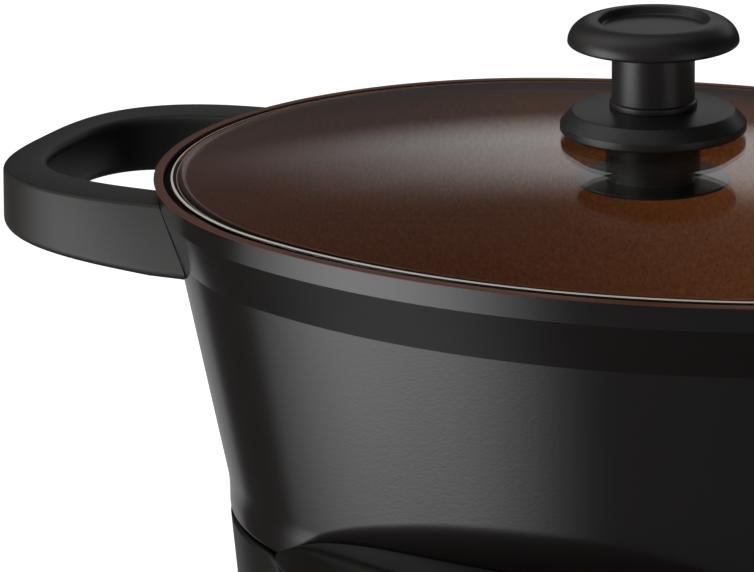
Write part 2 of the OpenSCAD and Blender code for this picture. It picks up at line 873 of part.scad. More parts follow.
module terminal_block() {
    wire_hole_r = 2;
    first_x = terminal_at.x - terminal_size.x / 2 + terminal_pitch / 2;
    color([0.20, 0.45, 0.25])
        difference() {
            on_board(terminal_at, terminal_size);
            for (i = [0:terminal_ways - 1])
                translate([first_x + i * terminal_pitch, terminal_at.y, board_top + terminal_size.z / 2])
                    rotate([-90, 0, 0]) cylinder(r = wire_hole_r, h = terminal_size.y);
        }
}

lead_r = 1.3;
lead_bend_r = 2;
lead_sides = 24;
lead_grid = 0.01;

// A place moved to the leads' grid, so that straight runs and bends meet exactly
function on_grid(place) = [for (c = place) round(c / lead_grid) * lead_grid];

// A quarter bend of a lead at a corner, from one axis direction into another
module lead_bend(corner, from, to) {
    c = corner + lead_bend_r * (to - from);
    n = cross(from, to);
    multmatrix([
        [-to.x, from.x, n.x, c.x],
        [-to.y, from.y, n.y, c.y],
        [-to.z, from.z, n.z, c.z],
        [0, 0, 0, 1]
    ])
        rotate_extrude(angle = 90) translate([lead_bend_r, 0]) circle(r = lead_r, $fn = lead_sides);
}

// A round lead through corners, with straight runs along the axes
module lead(points) {
    last = len(points) - 1;
    ways = [for (i = [0:last - 1]) (points[i + 1] - points[i]) / norm(points[i + 1] - points[i])];
    for (i = [0:last - 1]) {
        start = points[i] + (i > 0 ? lead_bend_r : 0) * ways[i];
        end = points[i + 1] - (i < last - 1 ? lead_bend_r : 0) * ways[i];
        translate(start)
            rotate([0, acos(ways[i].z), atan2(ways[i].y, ways[i].x)])
                cylinder(r = lead_r, h = norm(end - start), $fn = lead_sides);
    }
    for (i = [1:last - 1])
        lead_bend(points[i], ways[i - 1], ways[i]);
}

module heater_leads() {
    tail = 2;
    high = leg_z - lead_bend_r - tail;
    drop_y = on_grid([terminal_at.y + terminal_size.y / 2 + lead_r + fit])[0];
    color([0.75, 0.74, 0.70])
        for (a = pin_angles) {
            pin = on_grid(on_circle(element_loop_r, a));
            tap_x = terminal_at.x + sign(pin.x) * terminal_pitch;
            lead([
                [pin.x, pin.y, leg_z - fit / 2],
                [pin.x, pin.y, high],
                [tap_x, pin.y, high],
                [tap_x, drop_y, high],
                [tap_x, drop_y, board_top + fit]
            ]);
        }
}

// Control console on the front of the shell

console_lift = 6;
console_z = floor_z + console_lift;
console_top = base_top + console_rise;
arch_drop = 12;
console_arch_r = (console_half_width * console_half_width + arch_drop * arch_drop) / (2 * arch_drop);
console_fall = (console_foot_r - console_top_r) / (console_top - console_z);
panel_tilt = atan(oval * console_fall);
panel_height = console_z + panel_rise;
panel_out_r = console_foot_r - panel_rise * console_fall;
panel_y = -oval * panel_out_r + panel_recess / cos(panel_tilt);
panel_back = 3;
panel_low = -37;
panel_high = 33;
panel_room = far / 2;
hood_drop = 4;
hood_z = base_top - hood_drop;

// Moves children to the control panel: u is X, v runs up the panel and w points out of it
module on_panel(u = 0, v = 0, w = 0) {
    translate([0, panel_y, panel_height]) rotate([90 - panel_tilt, 0, 0]) translate([u, v, w]) children();
}

// A block in the panel's own directions
module panel_box(width, height, low_w, high_w) {
    translate([-width / 2, -height / 2, low_w]) cube([width, height, high_w - low_w]);
}

// The console's outer form, drawn in by an inset
module console_form(inset) {
    width = 2 * (console_half_width - inset);
    intersection() {
        oval_block(console_foot_r - inset, console_z + inset, console_top_r - inset, console_top);
        translate([-width / 2, -far, 0]) cube([width, far, far]);
        translate([0, 0, console_top - console_arch_r - inset])
            rotate([90, 0, 0]) cylinder(r = console_arch_r, h = far);
    }
}

// Everything behind a plane parallel to the panel
module behind_panel(w) {
    on_panel(0, 0, w) panel_box(2 * panel_room, 2 * panel_room, -panel_room, 0);
}

dial_v = -12;
display_v = 19;
button_u = 36;
button_upper_v = -2;
button_lower_v = -22;
bushing_wall = 1.6;
bushing_r = shaft_r + bushing_wall;
window_ledge = 2;
encoder_size = 13;
encoder_depth = 6.5;
board_front_w = -panel_back - encoder_depth;
board_rear_w = board_front_w - board_t;
button_corner = 2;

// Repeats children at each button's place on the panel
module at_buttons() {
    for (u = [-button_u, button_u], v = [button_upper_v, button_lower_v])
        translate([u, v, 0]) children();
}

// Openings for the dial and buttons, shared by the console and its fascia
module control_openings(low_w, high_w) {
    translate([0, dial_v, low_w]) cylinder(r = bushing_r + fit, h = high_w - low_w);
    at_buttons() panel_box(button_width + 2 * room, button_height + 2 * room, low_w, high_w);
}

module console() {
    window_w = window_width - 2 * window_ledge;
    window_h = window_height - 2 * window_ledge;
    color([0.05, 0.05, 0.05])
        difference() {
            console_form(0);
            intersection() {
                console_form(console_wall);
                behind_panel(-panel_back);
                translate([-far, -far, 0]) cube([2 * far, far, hood_z - console_wall]);
            }
            on_panel()
                translate([-panel_room, panel_low, 0])
                    cube([2 * panel_room, panel_high - panel_low, panel_room]);
            on_panel() control_openings(-panel_back - over, over);
            on_panel(0, display_v) panel_box(window_w, window_h, -panel_back - over, over);
            oval_block(shell_r(console_z - over) + room, console_z - over, shell_top_r + room,
                shell_top + over);
            oval_block(skirt_r + skirt_gap, shell_top, skirt_r + skirt_gap, console_top + over);
        }
}

module fascia() {
    color([0.03, 0.03, 0.03])
        difference() {
            intersection() {
                console_form(fit);
                on_panel(0, (panel_low + panel_high) / 2)
                    panel_box(2 * panel_room, panel_high - panel_low - 2 * fit, fit / 2, fascia_thick);
            }
            on_panel() control_openings(-over, fascia_thick + over);
            on_panel(0, display_v)
                panel_box(window_width + 2 * fit, window_height + 2 * fit, -over, fascia_thick + over);
        }
}

module display_window() {
    color([0.10, 0.10, 0.12, 0.8])
        on_panel(0, display_v) panel_box(window_width, window_height, fit / 2, fascia_thick);
}

module display_module() {
    depth = 5;
    border = 2;
    front_w = -panel_back - fit / 2;
    color([0.15, 0.15, 0.16])
        on_panel(0, display_v)
            panel_box(window_width + 2 * border, window_height + 2 * border, front_w - depth, front_w);
}

control_board_w = 98;
control_board_low = -34;
control_board_high = 6;

module control_board() {
    color([0.10, 0.32, 0.16])
        on_panel(0, (control_board_low + control_board_high) / 2)
            panel_box(control_board_w, control_board_high - control_board_low, board_rear_w, board_front_w);
}

button_proud = 1.6;
button_flange = 1;
button_flange_t = 1.3;
button_back = -panel_back - room - button_flange_t;
switch_gap = button_travel + fit;
switch_size = 6;

module tact_switches() {
    color([0.30, 0.30, 0.30])
        on_panel() at_buttons() panel_box(switch_size, switch_size, board_front_w, button_back - switch_gap);
}

module encoder() {
    color([0.55, 0.56, 0.55])
        on_panel(0, dial_v)
            difference() {
                union() {
                    panel_box(encoder_size, encoder_size, board_front_w, -panel_back);
                    translate([0, 0, -panel_back - over])
                        cylinder(r = bushing_r, h = panel_back + over + fascia_thick - fit);
                }
                translate([0, 0, board_front_w + over]) cylinder(r = shaft_r + running_fit, h = far);
            }
}

dial_gap = 0.5;
dial_w = fascia_thick + dial_gap;
shaft_low = board_front_w + over + fit;
dial_roof = 4;
shaft_top = dial_w + dial_height - dial_roof;

module dial_shaft() {
    color([0.70, 0.70, 0.70])
        on_panel(0, dial_v, shaft_low) cylinder(r = shaft_r, h = shaft_top - shaft_low);
}

module dial() {
    grip_inset = 2.5;
    grip_draw = 0.6;
    skirt_h = 2.6;
    skirt_slope = 1.6;
    top_round = 2;
    top_dish = 0.6;
    mark_w = 1.6;
    mark_depth = 0.8;
    mark_from = 6;
    press = 0.02;
    grip_r = dial_r - grip_inset;
    color([0.14, 0.14, 0.14])
        on_panel(0, dial_v, dial_w)
            difference() {
                rotate_extrude()
                    polygon(concat(
                        [[0, 0], [dial_r, 0], [dial_r, skirt_h], [grip_r, skirt_h + skirt_slope]],
                        arc(grip_r - top_round - grip_draw, dial_height - top_round, top_round, 0, 90, 5),
                        [[0, dial_height - top_dish]]
                    ));
                translate([0, 0, -over]) cylinder(r = shaft_r + press, h = over + shaft_top - dial_w + fit);
                translate([-mark_w / 2, mark_from, dial_height - mark_depth])
                    cube([mark_w, dial_r, over + mark_depth]);
            }
}

// One button: a cap through the fascia and a flange behind the console wall that meets its switch
module button(u, v) {
    brim = 2 * (room + button_flange);
    flange_front = button_back + button_flange_t;
    color([0.12, 0.12, 0.12])
        on_panel(u, v)
            union() {
                translate([0, 0, button_back + button_flange_t / 2])
                    linear_extrude(fascia_thick + button_proud - button_back - button_flange_t / 2)
                        polygon(rounded_box(button_width, button_height, button_corner));
                panel_box(button_width + brim, button_height + brim, button_back, flange_front);
            }
}

module button_upper_left() {
    button(-button_u, button_upper_v);
}

module button_lower_left() {
    button(-button_u, button_lower_v);
}

module button_upper_right() {
    button(button_u, button_upper_v);
}

module button_lower_right() {
    button(button_u, button_lower_v);
}

module signal_cable() {
    ribbon_w = 16;
    ribbon_t = 1.2;
    ribbon_z = cable_slot_z + cable_slot_h / 2;
    board_front = board_y - board_d / 2;
    connector = 6;
    plug_gap = 1;
    board_rear_y = panel_y - tan(panel_tilt) * (panel_height - ribbon_z) - board_rear_w / cos(panel_tilt);
    front_y = board_rear_y + plug_gap;
    color([0.55, 0.55, 0.58])
        union() {
            translate([-ribbon_w / 2, front_y, ribbon_z])
                cube([ribbon_w, board_front + connector - front_y, ribbon_t]);
            translate([-ribbon_w / 2, board_front, board_top + fit / 2])
                cube([ribbon_w, connector, ribbon_z - board_top + ribbon_t - fit / 2]);
        }
}

placed() lid_glass();
placed() knob_cap();
placed() knob_stem();
placed() knob_ring();
placed() knob_flange();
placed() knob_gasket();
placed() lid_retainer();
placed() lid_screw();
placed() pot();
placed() handle_left();
placed() handle_right();
placed() handle_screws();
placed() base_shell();
placed() base_deck();
placed() side_panel_left();
placed() side_panel_right();
placed() base_floor();
placed() feet();
placed() base_screws();
placed() heat_shield();
placed() heater_plate();
placed() heating_element();
placed() plate_spacers();
placed() plate_screws();
placed() thermal_fuse();
placed() sensor_cap();
placed() sensor_guide();
placed() sensor_spring();
placed() thermistor();
placed() power_board();
placed() relay();
placed() transformer();
placed() capacitor();
placed() terminal_block();
placed() cord_gland();
placed() heater_leads();
placed() signal_cable();
placed() console();
placed() fascia();
placed() display_window();
placed() display_module();
placed() control_board();
placed() tact_switches();
placed() encoder();
placed() dial();
placed() dial_shaft();
placed() button_upper_left();
placed() button_lower_left();
placed() button_upper_right();
placed() button_lower_right();
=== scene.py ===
import math

import bpy
from mathutils import Matrix, Vector


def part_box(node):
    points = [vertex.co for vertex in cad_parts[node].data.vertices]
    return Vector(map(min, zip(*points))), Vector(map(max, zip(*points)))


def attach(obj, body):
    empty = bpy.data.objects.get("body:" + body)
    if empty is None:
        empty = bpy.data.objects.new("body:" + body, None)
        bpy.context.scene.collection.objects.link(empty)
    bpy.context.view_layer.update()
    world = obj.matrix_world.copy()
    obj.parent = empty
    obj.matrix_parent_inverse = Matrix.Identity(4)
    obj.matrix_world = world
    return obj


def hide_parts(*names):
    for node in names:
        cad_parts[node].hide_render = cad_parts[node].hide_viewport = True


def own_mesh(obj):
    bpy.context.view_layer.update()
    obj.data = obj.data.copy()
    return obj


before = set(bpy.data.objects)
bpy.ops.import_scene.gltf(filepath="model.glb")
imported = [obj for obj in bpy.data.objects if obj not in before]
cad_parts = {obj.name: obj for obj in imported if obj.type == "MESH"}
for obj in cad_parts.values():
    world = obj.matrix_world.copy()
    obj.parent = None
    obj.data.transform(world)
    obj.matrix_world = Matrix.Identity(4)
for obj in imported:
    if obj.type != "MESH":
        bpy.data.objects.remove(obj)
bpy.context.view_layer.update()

# Base floor, deck, cord gland and feet: the moulded plastic parts that close the base from below and
# carry the heater, with soft rubber feet. The moulder's spark-eroded texture makes the plastic matt.
mm = 0.001


def linear(code):
    """An sRGB hex colour as the linear RGBA that shaders take."""
    parts = [int(code[i:i + 2], 16) / 255 for i in (1, 3, 5)]
    return tuple(p / 12.92 if p <= 0.04045 else ((p + 0.055) / 1.055) ** 2.4 for p in parts) + (1,)


def wire(tree, node, sockets):
    """Sets a node's sockets by name, each to a value or to another node's output."""
    for name, value in sockets.items():
        if isinstance(value, bpy.types.NodeSocket):
            tree.links.new(value, node.inputs[name])
        else:
            node.inputs[name].default_value = value


def add(tree, kind, sockets, **settings):
    """Adds a shader node of a kind with its settings and its sockets' values or links."""
    node = tree.nodes.new("ShaderNode" + kind)
    for name, value in settings.items():
        setattr(node, name, value)
    wire(tree, node, sockets)
    return node


def new_material(name, **uniform):
    """A material with its node tree, its main shader and the coordinates in metres."""
    made = bpy.data.materials.new(name)
    made.use_nodes = True
    tree = made.node_tree
    shader = tree.nodes["Principled BSDF"]
    wire(tree, shader, {key.replace("_", " "): value for key, value in uniform.items()})
    place = add(tree, "TexCoord", {}).outputs["Object"]
    return made, tree, shader, place


def moulded_plastic(name, colour, pale, roughness, grain, depth, edge=0.0, specular=0.5):
    """Moulded plastic: a fine even grain of a size and depth in millimetres that breaks up the gloss,
    slow changes of shade and sheen where hands and cloths have been, and edges softened by a radius."""
    made, tree, shader, place = new_material(name, Specular_IOR_Level=specular)
    wear_size, spread = 30, 0.05
    grains = add(tree, "TexNoise", {"Vector": place, "Scale": 1 / (grain * mm), "Detail": 3.0})
    wear = add(tree, "TexNoise", {"Vector": place, "Scale": 1 / (wear_size * mm), "Detail": 4.0})
    shade = add(tree, "Mix", {0: wear.outputs["Fac"], 6: linear(colour), 7: linear(pale)}, data_type="RGBA")
    sheen = add(tree, "MapRange", {"Value": wear.outputs["Fac"], "To Min": roughness - spread,
                                   "To Max": roughness + spread})
    bump = add(tree, "Bump", {"Height": grains.outputs["Fac"], "Distance": depth * mm})
    if edge:
        wire(tree, bump, {"Normal": add(tree, "Bevel", {"Radius": edge * mm}).outputs["Normal"]})
    wire(tree, shader, {"Base Color": shade.outputs[2], "Roughness": sheen.outputs["Result"],
                        "Normal": bump.outputs["Normal"]})
    return made


def dress(material, *names):
    """Gives CAD pieces that stay as they are a finish."""
    for name in names:
        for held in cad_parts[name].material_slots:
            held.material = material


base_plastic = moulded_plastic("black_polypropylene_textured", "#121212", "#171716", 0.5, 0.5, 0.02)
dress(base_plastic, "base_floor", "base_deck", "cord_gland")
foot_rubber = moulded_plastic("black_rubber_matt", "#161616", "#1d1c1b", 0.75, 0.8, 0.04)
dress(foot_rubber, "feet")


# Screws, springs and shafts: turned or headed steel with a dull zinc coat.
# The coat is laid down in fine crystals, so it shines softly and varies a little from place to place.
def plain_metal(name, colour, pale, roughness, grain, depth):
    """A bare metal whose grain, in millimetres, changes its shade, its sheen and its surface."""
    made, tree, shader, place = new_material(name, Metallic=1.0)
    spread = 0.08
    grains = add(tree, "TexNoise", {"Vector": place, "Scale": 1 / (grain * mm), "Detail": 5.0})
    shade = add(tree, "Mix", {0: grains.outputs["Fac"], 6: linear(colour), 7: linear(pale)}, data_type="RGBA")
    sheen = add(tree, "MapRange", {"Value": grains.outputs["Fac"], "To Min": roughness - spread,
                                   "To Max": roughness + spread})
    bump = add(tree, "Bump", {"Height": grains.outputs["Fac"], "Distance": depth * mm})
    wire(tree, shader, {"Base Color": shade.outputs[2], "Roughness": sheen.outputs["Result"],
                        "Normal": bump.outputs["Normal"]})
    return made


zinc_steel = plain_metal("zinc_plated_steel", "#9c9b96", "#c4c4c0", 0.35, 1.2, 0.005)
dress(zinc_steel, "base_screws", "plate_screws", "handle_screws", "lid_screw", "dial_shaft")

# Heater group: a cast aluminium plate with an element pressed into it, on ceramic spacers over a sheet
# steel shield. Casting leaves a sandy skin on the plate, and heat has darkened the element.
dress(plain_metal("cast_aluminium_raw", "#84847f", "#a9a8a3", 0.5, 1.5, 0.05), "heater_plate", "sensor_cap")
dress(plain_metal("rolled_steel_sheet", "#8d8c88", "#a8a7a2", 0.38, 4.0, 0.004),
      "heat_shield", "sensor_guide", "encoder")
dress(plain_metal("heat_tinted_steel", "#4a4038", "#6c6259", 0.45, 5.0, 0.01), "heating_element")
ceramic = moulded_plastic("white_steatite", "#d8d3c6", "#e6e2d8", 0.45, 0.6, 0.02)
dress(ceramic, "plate_spacers", "thermal_fuse")

# Electronics: boards of green glass-fibre laminate with dark, blue, brass, yellow and green components,
# glass-sleeved heater leads and a grey ribbon cable. Each has a plain moulded or dipped surface.
dress(moulded_plastic("green_solder_mask", "#12492c", "#1a5c39", 0.35, 2.0, 0.03), "power_board", "control_board")
dress(moulded_plastic("black_epoxy", "#161617", "#202021", 0.5, 0.4, 0.01),
      "thermistor", "tact_switches", "display_module")
dress(moulded_plastic("blue_relay_case", "#1c4a86", "#24579a", 0.4, 0.5, 0.01), "relay")
dress(plain_metal("varnished_core", "#6b5330", "#8a6d42", 0.45, 1.0, 0.02), "transformer")
dress(moulded_plastic("yellow_film_case", "#c99b23", "#d8ac38", 0.4, 0.5, 0.01), "capacitor")
dress(moulded_plastic("green_terminal_case", "#1f6b3c", "#2b7d4a", 0.45, 0.5, 0.01), "terminal_block")
dress(moulded_plastic("glass_braid_sleeve", "#cbc7ba", "#dedbd0", 0.7, 0.7, 0.08), "heater_leads")
dress(moulded_plastic("grey_ribbon_cable", "#8b8b88", "#a0a09d", 0.5, 1.27, 0.1), "signal_cable")

# Base shell: a moulded oval wall, flush under the pot's skirt and drawn in towards its foot.
# Its outline, like the pot's, is an oval of four arcs, so every inset from the rim is the same all round.
rim_length, rim_width, end_radius = 150.0, 116.5, 108.0
end_centre = rim_length - end_radius
side_radius = (end_centre ** 2 + rim_width ** 2 - end_radius ** 2) / (2 * (rim_width - end_radius))
side_centre = side_radius - rim_width
joint_sine = side_centre / (side_radius - end_radius)
low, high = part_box("lid_glass")
axis_y = (low.y + high.y) / 2 / mm
rim_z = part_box("pot")[1].z / mm


def oval_point(turn, inset):
    """A point of the oval at the angle of its outward normal, in millimetres about the pot's axis."""
    across, along = math.cos(turn), math.sin(turn)
    if abs(along) < joint_sine:
        return (math.copysign(end_centre, across) + (end_radius - inset) * across, (end_radius - inset) * along)
    return ((side_radius - inset) * across, (side_radius - inset) * along - math.copysign(side_centre, along))


def rounded(corners, steps=6):
    """An open line through corners of (u, v, radius), with each corner rounded by its radius."""
    line = []
    for i, (u, v, radius) in enumerate(corners):
        here = Vector((u, v))
        if radius == 0 or i in (0, len(corners) - 1):
            line.append(here)
            continue
        back = (Vector(corners[i - 1][:2]) - here).normalized()
        on = (Vector(corners[i + 1][:2]) - here).normalized()
        half = back.angle(on) / 2
        centre = here + (back + on).normalized() * (radius / math.sin(half))
        first = here + back * (radius / math.tan(half)) - centre
        last = here + on * (radius / math.tan(half)) - centre
        sweep = first.angle_signed(last)
        for k in range(steps + 1):
            line.append(centre + Matrix.Rotation(-sweep * k / steps, 2) @ first)
    return line


def skin(rings, closed=True, ends=False, loop=False):
    """Points and faces of a skin through rings of points; ends closes it, loop joins last to first."""
    count = len(rings[0])
    points = [p for ring in rings for p in ring]
    faces = []
    for i in range(len(rings) if loop else len(rings) - 1):
        a, b = i * count, (i + 1) % len(rings) * count
        for k in range(count if closed else count - 1):
            n = (k + 1) % count
            faces.append((a + k, a + n, b + n, b + k))
    if ends:
        faces.append(tuple(reversed(range(count))))
        faces.append(tuple(range(len(points) - count, len(points))))
    return points, faces


def piece(name, shape, materials, body, slot, *nodes, crease=35):
    """A visible piece from points about the pot's axis in millimetres; it stands for any CAD nodes named."""
    points, faces = shape
    mesh = bpy.data.meshes.new(name)
    mesh.from_pydata([(x * mm, (y + axis_y) * mm, z * mm) for x, y, z in points], [], faces)
    mesh.shade_smooth()
    mesh.set_sharp_from_angle(angle=math.radians(crease))
    for material in materials:
        mesh.materials.append(material)
    made = bpy.data.objects.new(name, mesh)
    bpy.context.scene.collection.objects.link(made)
    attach(made, body)
    if nodes:
        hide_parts(*nodes)
    return made


def full_turn(count):
    """Equal angles once round."""
    return [2 * math.pi * k / count for k in range(count)]


oval_steps = 240
shell_foot, shell_top, shell_wall = 6.0, 91.0, 2.3
shell_inset, shell_draft = 23.0, 6.8
top_round, foot_round = 0.8, 1.0
shell_profile = rounded([
    (shell_inset + shell_wall, shell_top, 0), (shell_inset, shell_top, top_round),
    (shell_inset + shell_draft, shell_foot, foot_round), (shell_inset + shell_draft + shell_wall, shell_foot, 0),
])
swell_top, swell_foot, swell_half, swell_power = 3.2, 5.6, 80.0, 3.5


def wall_point(turn, inset, z):
    """A point of the wall, which swells at the front and the back to clear the deck inside it."""
    share = min(1.0, abs(oval_point(turn, inset)[0]) / swell_half)
    down = (shell_top - z) / (shell_top - shell_foot)
    swell = (swell_top + (swell_foot - swell_top) * down) * (1 - share ** swell_power)
    return (*oval_point(turn, inset - swell), z)


wall = [[wall_point(t, inset, z) for t in full_turn(oval_steps)] for inset, z in shell_profile]
piece("base_wall", skin(wall, loop=True), [base_plastic], "base", "base_plastic", "base_shell")

# Sensor spring: a coil of steel wire that presses the sensor's cap up against the pot.
# It stands on the guide's flange and shortens as the cap is pushed down.
low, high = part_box("sensor_spring")
wire_r, coil_turns, turn_steps, wire_sides = 0.6, 5, 36, 10
coil_r = (high.x - low.x) / 2 / mm - wire_r
coil_y, coil_foot = (low.y + high.y) / 2 / mm - axis_y, low.z / mm + wire_r
coil_rise = (high.z - low.z) / mm - 2 * wire_r
coil = []
for k in range(coil_turns * turn_steps + 1):
    turn, z = 2 * math.pi * k / turn_steps, coil_foot + coil_rise * k / (coil_turns * turn_steps)
    coil.append([((coil_r + wire_r * math.cos(a)) * math.cos(turn),
                  coil_y + (coil_r + wire_r * math.cos(a)) * math.sin(turn),
                  z + wire_r * math.sin(a)) for a in full_turn(wire_sides)])
coil_spring = piece("sensor_coil_spring", skin(coil, ends=True), [zinc_steel], "base", "steel", "sensor_spring")
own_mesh(coil_spring)

# Side panels: two thin painted steel skins, bent round the ends of the shell, with rounded upper corners
# and rolled edges. The paint is a satin black with a fine even skin.
panel_paint = moulded_plastic("satin_black_paint", "#181716", "#1d1c1b", 0.38, 0.6, 0.008, specular=0.2)
panel_top, panel_foot, panel_skin = 92.0, 8.0, 2.7
panel_inset, panel_draft = 20.0, 6.7
panel_edge, panel_corner, panel_roll = 85.0, 9.0, 1.3
foot_share, top_share, thin_share = 0.4, 0.45, 0.15
edge_turn = math.acos((panel_edge - end_centre) / (end_radius - panel_inset))
panel_steps, corner_steps, roll_steps = 96, 10, 4


def panel_section(turn, top, thickness):
    """A closed section of the side panel at an angle: up its outer face, over its edge and down."""
    foot_inset = panel_inset + panel_draft
    top_inset = panel_inset + (panel_top - top) / (panel_top - panel_foot) * panel_draft
    line = rounded([
        (foot_inset + thickness / 2, panel_foot, 0), (foot_inset, panel_foot, thickness * foot_share),
        (top_inset, top, thickness * top_share), (top_inset + thickness, top, thickness * top_share),
        (foot_inset + thickness, panel_foot, thickness * foot_share), (foot_inset + thickness / 2, panel_foot, 0),
    ])
    return [(*oval_point(turn, inset), z) for inset, z in line]


def side_panel(sign):
    """The skin round one end, as sections from its front edge to its rear edge."""
    radius = end_radius - panel_inset
    half_arc = edge_turn * radius
    stops = [half_arc * k / panel_steps for k in range(panel_steps)]
    stops = [s for s in stops if s < half_arc - panel_corner]
    stops += [half_arc - panel_corner * (1 - math.sin(math.pi / 2 * k / corner_steps)) for k in range(corner_steps)]
    stops += [half_arc - panel_roll * (1 - k / roll_steps) for k in range(1, roll_steps + 1)]
    stops = sorted(set(stops))
    sections = []
    for s in [-s for s in reversed(stops)] + stops[1:]:
        into = max(0.0, abs(s) - (half_arc - panel_corner)) / panel_corner
        drop = panel_corner * (1 - math.sqrt(max(0.0, 1 - into * into)))
        to_edge = min(1.0, (half_arc - abs(s)) / panel_roll)
        thickness = panel_skin * max(thin_share, math.sqrt(1 - (1 - to_edge) ** 2))
        turn = s / radius + (math.pi if sign < 0 else 0)
        sections.append(panel_section(turn, panel_top - drop, thickness))
    return skin(sections, ends=True)


for side, sign in (("left", -1), ("right", 1)):
    piece("side_skin_" + side, side_panel(sign), [panel_paint], "base", "panel_metal", "side_panel_" + side)

# Control console: a moulded housing screwed to the front of the shell, under a hood that curves along the
# pot's skirt from one side panel to the other, with a gloss fascia and a smoked window.
console_plastic = moulded_plastic("gloss_black_abs", "#131211", "#171615", 0.25, 0.8, 0.006, edge=0.8,
                                  specular=0.13)
dress(console_plastic, "console")
dress(moulded_plastic("gloss_black_fascia", "#0b0b0c", "#0e0e0f", 0.18, 3.0, 0.002, edge=0.4), "fascia")
dress(moulded_plastic("smoked_acrylic", "#08090a", "#0b0c0e", 0.12, 5.0, 0.001), "display_window")
hood_half, hood_foot, hood_end, hood_rise, hood_power = 84.0, 92.6, 95.4, 12.2, 4.5
hood_back, hood_tip, hood_bulge, hood_fall, hood_slope = 18.6, 17.4, 18.5, 1.2, 0.327
brow_round, brow_share, hood_edge, sill_round = 5.0, 0.4, 0.3, 0.5
hood_steps = 96
half_sweep = math.asin((hood_half - end_centre) / (end_radius - panel_inset))


def hood_section(turn):
    """A closed section of the hood at an angle: up its back, over its top and down its sloping front."""
    share = min(1.0, abs(oval_point(turn, panel_inset)[0]) / hood_half)
    top = hood_end + hood_rise * (1 - share ** hood_power)
    front = hood_tip - hood_bulge * (1 - share ** 2) ** hood_fall
    middle = (top + hood_foot) / 2
    line = rounded([
        (hood_back, middle, 0), (hood_back, top, hood_edge),
        (front, top, min(brow_round, (hood_back - front) * brow_share)),
        (front - (top - hood_foot) * hood_slope, hood_foot, sill_round),
        (hood_back, hood_foot, hood_edge), (hood_back, middle, 0),
    ])[:-1]
    return [(*oval_point(turn, inset), z) for inset, z in line]


hood = [hood_section(-math.pi / 2 + half_sweep * (2 * k / hood_steps - 1)) for k in range(hood_steps + 1)]
piece("console_hood", skin(hood, ends=True), [console_plastic], "base", "console_plastic")

# Controls: a ribbed dial with a white pointer, four buttons, and plain printed signs on them and on the
# fascia. The display shows a time in pale bars.
panel_sine, panel_cosine = 0.31082, 0.95047
panel_front, panel_middle = -117.147, 54.0
fascia_face, button_face = 2.2, 3.8
dial_v, button_u, upper_v, lower_v, display_v = -12.0, 36.0, -2.0, -22.0, 19.0
control_plastic = moulded_plastic("grey_black_abs", "#232323", "#2a2a2a", 0.4, 0.4, 0.01, edge=0.5)
dress(control_plastic, "button_upper_left", "button_lower_left", "button_upper_right", "button_lower_right")
dial_ribs, dial_steps, rib_depth = 32, 256, 0.5
rib_foot, rib_top, rib_inner = 7.0, 14.6, 14.0
rib_ends = [Vector((15.55, 7.1)), Vector((15.1, 13.8))]
tiny, skirt_foot, skirt_r, dial_rim, dial_face = 0.05, 2.7, 18.0, 15.7, 15.0
dial_profile = rounded([
    (tiny, skirt_foot, 0), (skirt_r, skirt_foot, 0.3), (skirt_r, 5.0, 0.6), (15.6, 6.4, 0.5),
    (15.0, dial_rim, 1.8), (11.6, dial_rim, 0.7), (10.8, dial_face, 0.7), (tiny, dial_face, 0),
])


def on_panel(u, v, w):
    """A point at a place across, up and out from the sloping panel."""
    return (u, panel_front + v * panel_sine - w * panel_cosine, panel_middle + v * panel_cosine + w * panel_sine)


def dial_ring(radius, w):
    """A ring of the dial, ribbed between its skirt and its rounded top edge."""
    depth = rib_depth if rib_foot < w < rib_top and radius > rib_inner else 0.0
    ring = []
    for turn in full_turn(dial_steps):
        reach = radius - depth * (0.5 + 0.5 * math.cos(dial_ribs * turn)) ** 2
        ring.append(on_panel(reach * math.cos(turn), dial_v + reach * math.sin(turn), w))
    return ring


dial_line = [p for p in dial_profile if p.y < rib_foot] + rib_ends
dial_line += [p for p in dial_profile if p.y >= rib_foot]
piece("dial_knob", skin([dial_ring(r, w) for r, w in dial_line], ends=True), [control_plastic], "dial",
      "control_plastic", "dial")
sign_ink = moulded_plastic("pale_grey_ink", "#bdbdb8", "#cfcfca", 0.5, 0.3, 0.004)
ink_depth = 0.05


def bar(u, v, width, height, turn=0.0):
    """The corners of a bar about its middle, turned by an angle."""
    return [(u + x * math.cos(turn) - y * math.sin(turn), v + x * math.sin(turn) + y * math.cos(turn))
            for x, y in ((-width / 2, -height / 2), (width / 2, -height / 2), (width / 2, height / 2),
                         (-width / 2, height / 2))]


def printed(name, outlines, w, body, slot):
    """Thin printed signs on the panel or on a control, one closed outline each."""
    points, faces = [], []
    for outline in outlines:
        made = skin([[on_panel(u, v, w + d) for u, v in outline] for d in (-ink_depth, ink_depth)], ends=True)
        faces += [tuple(len(points) + i for i in face) for face in made[1]]
        points += made[0]
    piece(name, (points, faces), [sign_ink], body, slot)


pointer_v, pointer_width, pointer_length = dial_v + 6.6, 1.3, 6.4
printed("dial_pointer", [bar(0, pointer_v, pointer_width, pointer_length)], dial_face, "dial", "control_plastic")
scale_r, long_tick, short_tick, stroke = 21.3, 2.2, 1.2, 0.6
tick_count, tick_start, tick_step = 11, 225, 27
ticks = []
for k in range(tick_count):
    t = math.radians(tick_start - tick_step * k)
    ticks.append(bar(scale_r * math.cos(t), dial_v + scale_r * math.sin(t),
                     long_tick if k % 5 == 0 else short_tick, stroke, t))
printed("dial_scale", ticks, fascia_face, "base", "fascia_gloss")
arc = [math.radians(a) for a in range(-240, 61, 15)]
arc_outer, arc_inner, arc_v, stem_v, stem_length = 2.0, 1.5, upper_v - 0.2, upper_v + 1.4, 2.0
power = [(-button_u + r * math.cos(t), arc_v + r * math.sin(t))
         for r, line in ((arc_outer, arc), (arc_inner, arc[::-1])) for t in line]
